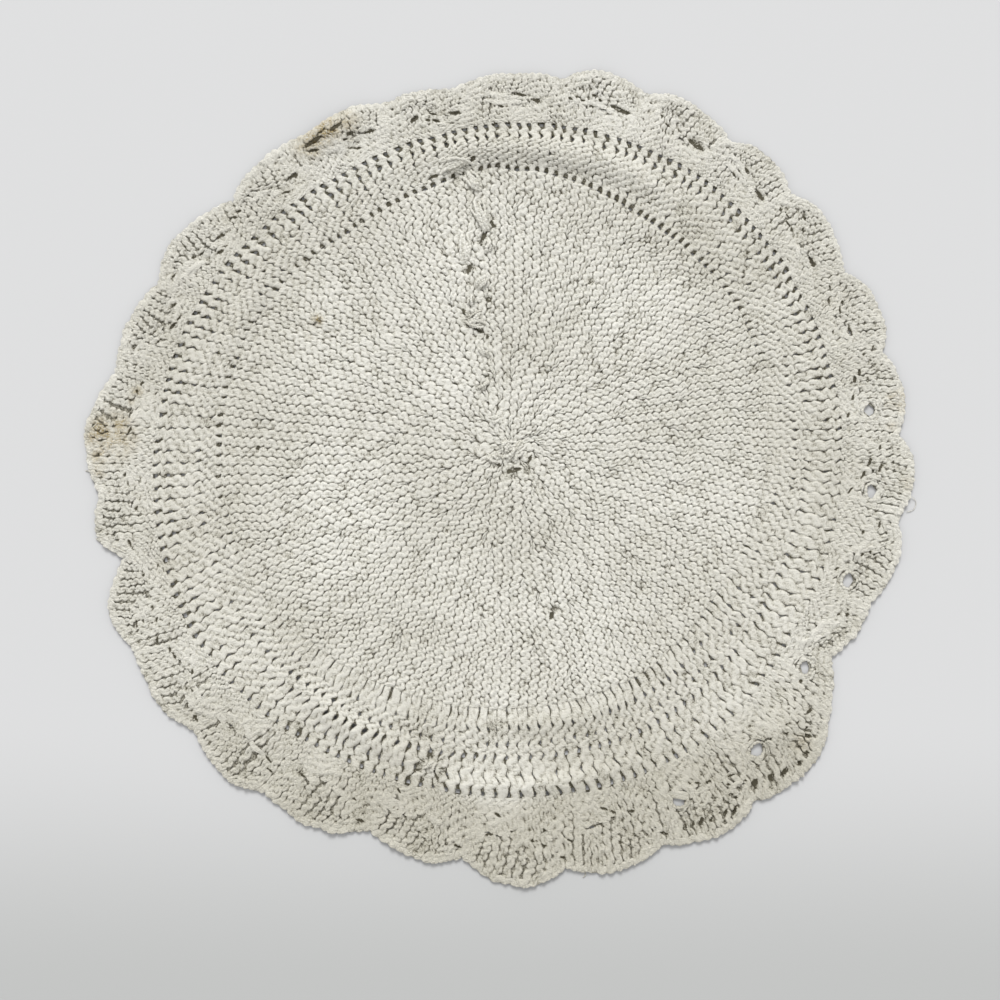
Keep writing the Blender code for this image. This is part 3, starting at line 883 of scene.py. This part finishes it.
# knots, the hub's darn and loose ends
knots = dict(
    area=9, fewest=4, foot=1.5, low=1.9, thick=(1.3, 2.1),  # mm2 to a strand, then mm
    spread=(0.42, 0.35, 0.3),  # a strand's place, slant and bow, in widths of the knot
    start=0.3, half=(0.45, 1), crown=(0.6, 1), points=6, sway=0.25,
    places=[  # x, y, long, wide, high, turn deg
        (-15, 137, 18, 6, 5, -66), (-24, 120, 19, 4.6, 4.2, -83), (-15.5, 101, 8, 5.5, 4.4, 70),
        (-18.5, 79, 10, 7.5, 4.8, 20), (-13.5, 43, 8, 4, 4, 40), (-30, 166, 16, 8, 4.4, 15),
        (-20, 157, 13, 7, 4.4, -35), (-12, 121, 7, 4, 4, 60), (-20.5, 90, 6, 4, 3.8, 90),
        (-8, 24, 6, 4.5, 3.6, 10), (2, 7, 13, 11, 4.3, 50), (-7, 2, 7, 5, 3.7, 130),
        (-43.7, -169.7, 7, 4.5, 4.4, 65), (-107.5, 80.5, 5, 4, 4.2, 0), (-14, 62, 6, 3.6, 3.6, 110),
    ],
    ends=[  # loose ends of yarn: thickness and points
        (1.1, [(-213, -51, 2.6), (-218, -48.5, 3), (-222, -47, 1.9), (-226.5, -45.5, 1),
            (-231, -42.5, 0.9)]),
        (0.5, [(-226, -5.5, 2.4), (-231, -5.6, 1.5), (-235, -5.3, 0.5), (-237, -4.6, 0.5)]),
        (0.5, [(39, -222, 2.5), (41, -226, 1.6), (43.5, -231, 0.6), (41.5, -232.5, 0.5)]),
        (0.35, [(219, -17, 2.4), (225, -19, 1.2), (228.5, -22, 0.5), (227, -27, 0.5), (222.5, -28, 0.6)]),
        (0.9, [(-229, 22, 2.4), (-233, 19, 1.8), (-234.5, 14, 1.2)]),
        (0.8, [(-228, 9, 2.4), (-233, 8, 1.6), (-236, 5, 0.9)]),
        (0.7, [(-222, 30, 2.4), (-228, 30, 1.6), (-231, 26, 1)]),
    ],
)


# shade and topShade paint light and shade on each strand: lighter on top, darker underneath
strand = dict(
    perPoint=5, rounding=6, sides=6, endThick=0.3, swell=0.25, swells=37,
    shade=0.45, topShade=0.25, uneven=0.12,
)


def sweep(points, thick):
    # a round strand along points, tapered at its ends
    t = np.linspace(0, 1, strand["perPoint"] * len(points))
    steps = np.linspace(0, 1, len(points))
    line = np.stack([np.interp(t, steps, np.array(points)[:, axis]) for axis in (0, 1, 2)], -1)
    for _ in range(strand["rounding"]):
        line[1:-1] = (line[:-2] + 2 * line[1:-1] + line[2:]) / 4
    along = np.gradient(line, axis=0)
    along /= np.linalg.norm(along, axis=1, keepdims=True)
    side = np.cross(along, (0.0, 0.0, 1.0))
    side /= np.linalg.norm(side, axis=1, keepdims=True) + 1e-9
    up = np.cross(side, along)
    sides = strand["sides"]
    angle = 2 * np.pi * np.arange(sides) / sides
    swell = 1 + strand["swell"] * np.sin(t * strand["swells"])
    size = thick / 2 * np.where((t == 0) | (t == 1), strand["endThick"], swell)
    ring = np.cos(angle)[:, None] * side[:, None] + np.sin(angle)[:, None] * up[:, None]
    verts = line[:, None] + size[:, None, None] * ring
    spot = np.arange(len(t) * sides).reshape(len(t), sides)
    after = np.roll(spot, -1, 1)
    faces = np.stack([spot[:-1], after[:-1], after[1:], spot[1:]], -1)
    # painted light and shade: lighter on the top of the strand, darker underneath, with a random tone for
    # each strand
    shade = strand["shade"] + strand["topShade"] * ring[..., 2] + strand["uneven"] * dice.normal()
    return verts.reshape(-1, 3), faces.reshape(-1, 4), shade.reshape(-1)


def knotStrands(x, y, long, wide, high, turn):
    # short strands bunched over one another
    parts = []
    c, s = np.cos(np.radians(turn)), np.sin(np.radians(turn))
    for _ in range(max(knots["fewest"], round(long * wide / knots["area"]))):
        half = long / 2 * dice.uniform(*knots["half"])
        start = dice.uniform(-knots["start"], knots["start"]) * long / 2
        side, slant, bow = (dice.uniform(-most, most) * wide for most in knots["spread"])
        crown = (high - knots["low"]) * dice.uniform(*knots["crown"]) * (1 - abs(side) / wide) + knots["low"]
        points = []
        for t in np.linspace(-1, 1, knots["points"]):
            u = start + half * t
            v = side + slant * t + bow * (1 - t * t) + dice.normal(0, knots["sway"])
            spotX, spotY = x + u * c - v * s, y + u * s + v * c
            raised = float(lift(np.array([spotX]), np.array([spotY]))[0])
            points.append((spotX, spotY, knots["foot"] + (crown - knots["foot"]) * (1 - t ** 4) + raised))
        parts.append(sweep(points, dice.uniform(*knots["thick"])))
    return parts


def holeStrands(leaf):
    # yarn that runs round an eyelet that gapes
    made = draws(300 + leaf)
    middle = np.array(place(leaf * shape["lanesPerLeaf"], eyelets["reach"]))
    out = middle / np.hypot(*middle)
    side = np.array((-out[1], out[0]))
    parts = []
    for start in eyelets["ringStarts"]:
        points = []
        turns = start + made.uniform(*eyelets["ringShake"]) + np.linspace(*eyelets["ringTurns"])
        for turn in np.radians(turns):
            wide, high = (made.normal(half, eyelets["ringSway"]) for half in eyelets["ring"])
            spot = middle + side * np.cos(turn) * wide + out * np.sin(turn) * high
            points.append((*spot, made.uniform(*eyelets["ringHigh"])))
        parts.append(sweep(points, made.uniform(*eyelets["ringThick"])))
    return parts


def knotYarn():
    parts = []
    for leaf in leaves[gaping]:
        parts += holeStrands(leaf)
    for knot in knots["places"]:
        parts += knotStrands(*knot)
    parts += [sweep(points, thick) for thick, points in knots["ends"]]
    return makeMesh("knots_and_ends", *joinSurfaces(parts))


yarnPieces.append(knotYarn())
print("knots done")

# The ground under the ribs, a thin sheet with the eyelets cut through, coloured dark as painted shade for
# the pits between the ribs. Each lane has a column of points on either side of its eyelets.
ground = dict(
    top=1.2, bottom=0.05, half=0.18, holeHalf=0.028, sharpDeg=50,
    discRows=(0.01, 0.93, 24), leafHole=2.43,  # the row that a leaf's eyelet starts at
    leafRows=(2.12, 2.2, 2.29, 2.43, 2.51, 2.65, 2.76, 2.87, 2.965),
    shades=(0.12, 0, 0.22), shadeEnds=(0.96, 2.05),  # painted shade in the pits of the disc, net and edging
)


def groundRows():
    # the reach of each row of points, and what kind of eyelet is cut between it and the next
    rows = [(reach, None) for reach in np.linspace(*ground["discRows"])]
    for row in range(netBands + 1):
        at = 1 + row * net["step"]
        rows += [(at - ground["holeHalf"], "net"), (at + ground["holeHalf"], None)]
        if row < netBands:
            rows += [(at + net["step"] / 2, None)]
    rows += [(reach, "leaf" if reach == ground["leafHole"] else None) for reach in ground["leafRows"]]
    return rows


def isHole(kind, column):
    every = dict(net=2, leaf=2 * shape["lanesPerLeaf"])
    return kind in every and column % every[kind] == 0


def groundSheet():
    columns = (np.arange(lanes)[:, None] + np.array([-1, 1]) * ground["half"]).ravel()
    rows, shades, shadeEnds = groundRows(), ground["shades"], ground["shadeEnds"]
    verts, tones, many = [], [], len(columns)
    perLeaf = many // len(leaves)
    gapes = np.repeat(gaping, perLeaf)
    beside = np.arange(many) % perLeaf
    widened = columns + eyelets["widen"] * gapes * ((beside == 1) * 1.0 - (beside == 0))
    longer = np.where(gapes, eyelets["lengthen"], eyelets["shorten"])
    for side in ("top", "bottom"):
        for row, (reach, kind) in enumerate(rows):
            reach = np.full(many, float(reach))
            byEyelet = kind == "leaf" or row and rows[row - 1][1] == "leaf"
            if byEyelet:
                reach = eyelets["reach"] + (reach - eyelets["reach"]) * longer
            x, y = place(widened if byEyelet else columns, reach)
            verts.append(np.stack([x, y, lift(x, y) + ground[side]], -1))
            tones.append(np.choose(np.searchsorted(shadeEnds, reach, side="right"), shades))
    verts = np.concatenate(verts + [[(0, shape["hubOffset"], ground[side]) for side in ("top", "bottom")]])
    layer = len(rows) * many
    last, hubTop, hubLow = len(rows) - 1, 2 * layer, 2 * layer + 1

    def at(side, row, column):
        return side * layer + row * many + column % many

    def wall(one, other):
        # from the underside up to the top between two points of (row, column)
        return at(1, *one), at(1, *other), at(0, *other), at(0, *one)

    faces = []
    for column in range(many):
        faces.append((hubTop, at(0, 0, column), at(0, 0, column + 1)))
        faces.append((hubLow, at(1, 0, column + 1), at(1, 0, column)))
        faces.append(wall((last, column), (last, column + 1)))
    for row in range(last):
        kind = rows[row][1]
        for column in range(many):
            a, b = column, column + 1
            if isHole(kind, column):
                edges = [((row, a), (row, b)), ((row + 1, b), (row + 1, a))]
                if not isHole(kind, b):
                    edges.append(((row, b), (row + 1, b)))
                if not isHole(kind, a - 1):
                    edges.append(((row + 1, a), (row, a)))
                faces += [wall(one, other) for one, other in edges]
                continue
            faces.append((at(0, row, a), at(0, row + 1, a), at(0, row + 1, b), at(0, row, b)))
            faces.append((at(1, row, b), at(1, row + 1, b), at(1, row + 1, a), at(1, row, a)))
    # the hub's points carry the darkest painted shade
    piece = makeMesh("ground_cloth", verts, faces, np.concatenate(tones + [np.zeros(2)]))
    piece.data.set_sharp_from_angle(angle=math.radians(ground["sharpDeg"]))
    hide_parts("doily")
    return piece


def insideRim():
    # the cloth's area in m2
    rim = np.stack(place(np.arange(0, lanes, 0.25), 3.0), -1) * mm
    after = np.roll(rim, -1, 0)
    return abs((rim[:, 0] * after[:, 1] - rim[:, 1] * after[:, 0]).sum()) / 2


groundPiece = groundSheet()
clothArea = insideRim()
print("ground done")

# The table is painted a little darker on the near side, a painted shadow where the light falls off. The
# light comes from the far side.
table = dict(
    wide=3, colour=(0.515, 0.517, 0.52), near=(0.385, 0.39, 0.385), fade=(-0.13, -0.29), rough=0.75,
)


def makeTable():
    mesh = bpy.data.meshes.new("table_top")
    half = table["wide"] / 2
    corners = [(-half, -half, 0), (half, -half, 0), (half, half, 0), (-half, half, 0)]
    mesh.from_pydata(corners, [], [(0, 1, 2, 3)])
    top = addObject("table_top", mesh)
    material = bpy.data.materials.new("table top")
    material.use_nodes = True
    tree = material.node_tree
    shader = tree.nodes["Principled BSDF"]
    spot = tree.nodes.new("ShaderNodeSeparateXYZ")
    tree.links.new(tree.nodes.new("ShaderNodeTexCoord").outputs["Object"], spot.inputs["Vector"])
    # painted shadow: the colour fades to the darker near colour towards the near edge
    fade = tree.nodes.new("ShaderNodeMapRange")
    fade.interpolation_type = "SMOOTHSTEP"
    fade.inputs["From Min"].default_value, fade.inputs["From Max"].default_value = table["fade"]
    tree.links.new(spot.outputs["Y"], fade.inputs["Value"])
    colour = blendNode(tree, "MIX", fade.outputs["Result"], (*table["colour"], 1), (*table["near"], 1))
    tree.links.new(colour, shader.inputs["Base Color"])
    shader.inputs["Roughness"].default_value = table["rough"]
    mesh.materials.append(material)


light = dict(room=0.82, sun=2.75, soft=22.0, turn=(-48.6, 0, 3))


def makeLight():
    world = bpy.data.worlds.new("room")
    bpy.context.scene.world = world
    world.use_nodes = True
    room = world.node_tree.nodes["Background"].inputs
    room["Color"].default_value = (1.0, 1.0, 1.0, 1)
    room["Strength"].default_value = light["room"]
    lamp = bpy.data.lights.new("window", "SUN")
    lamp.energy = light["sun"]
    lamp.angle = math.radians(light["soft"])
    rig = addObject("window", lamp)
    rig.rotation_euler = [math.radians(turn) for turn in light["turn"]]
    bpy.context.scene.view_settings.view_transform = "Standard"


makeTable()
makeLight()
print("scene done")
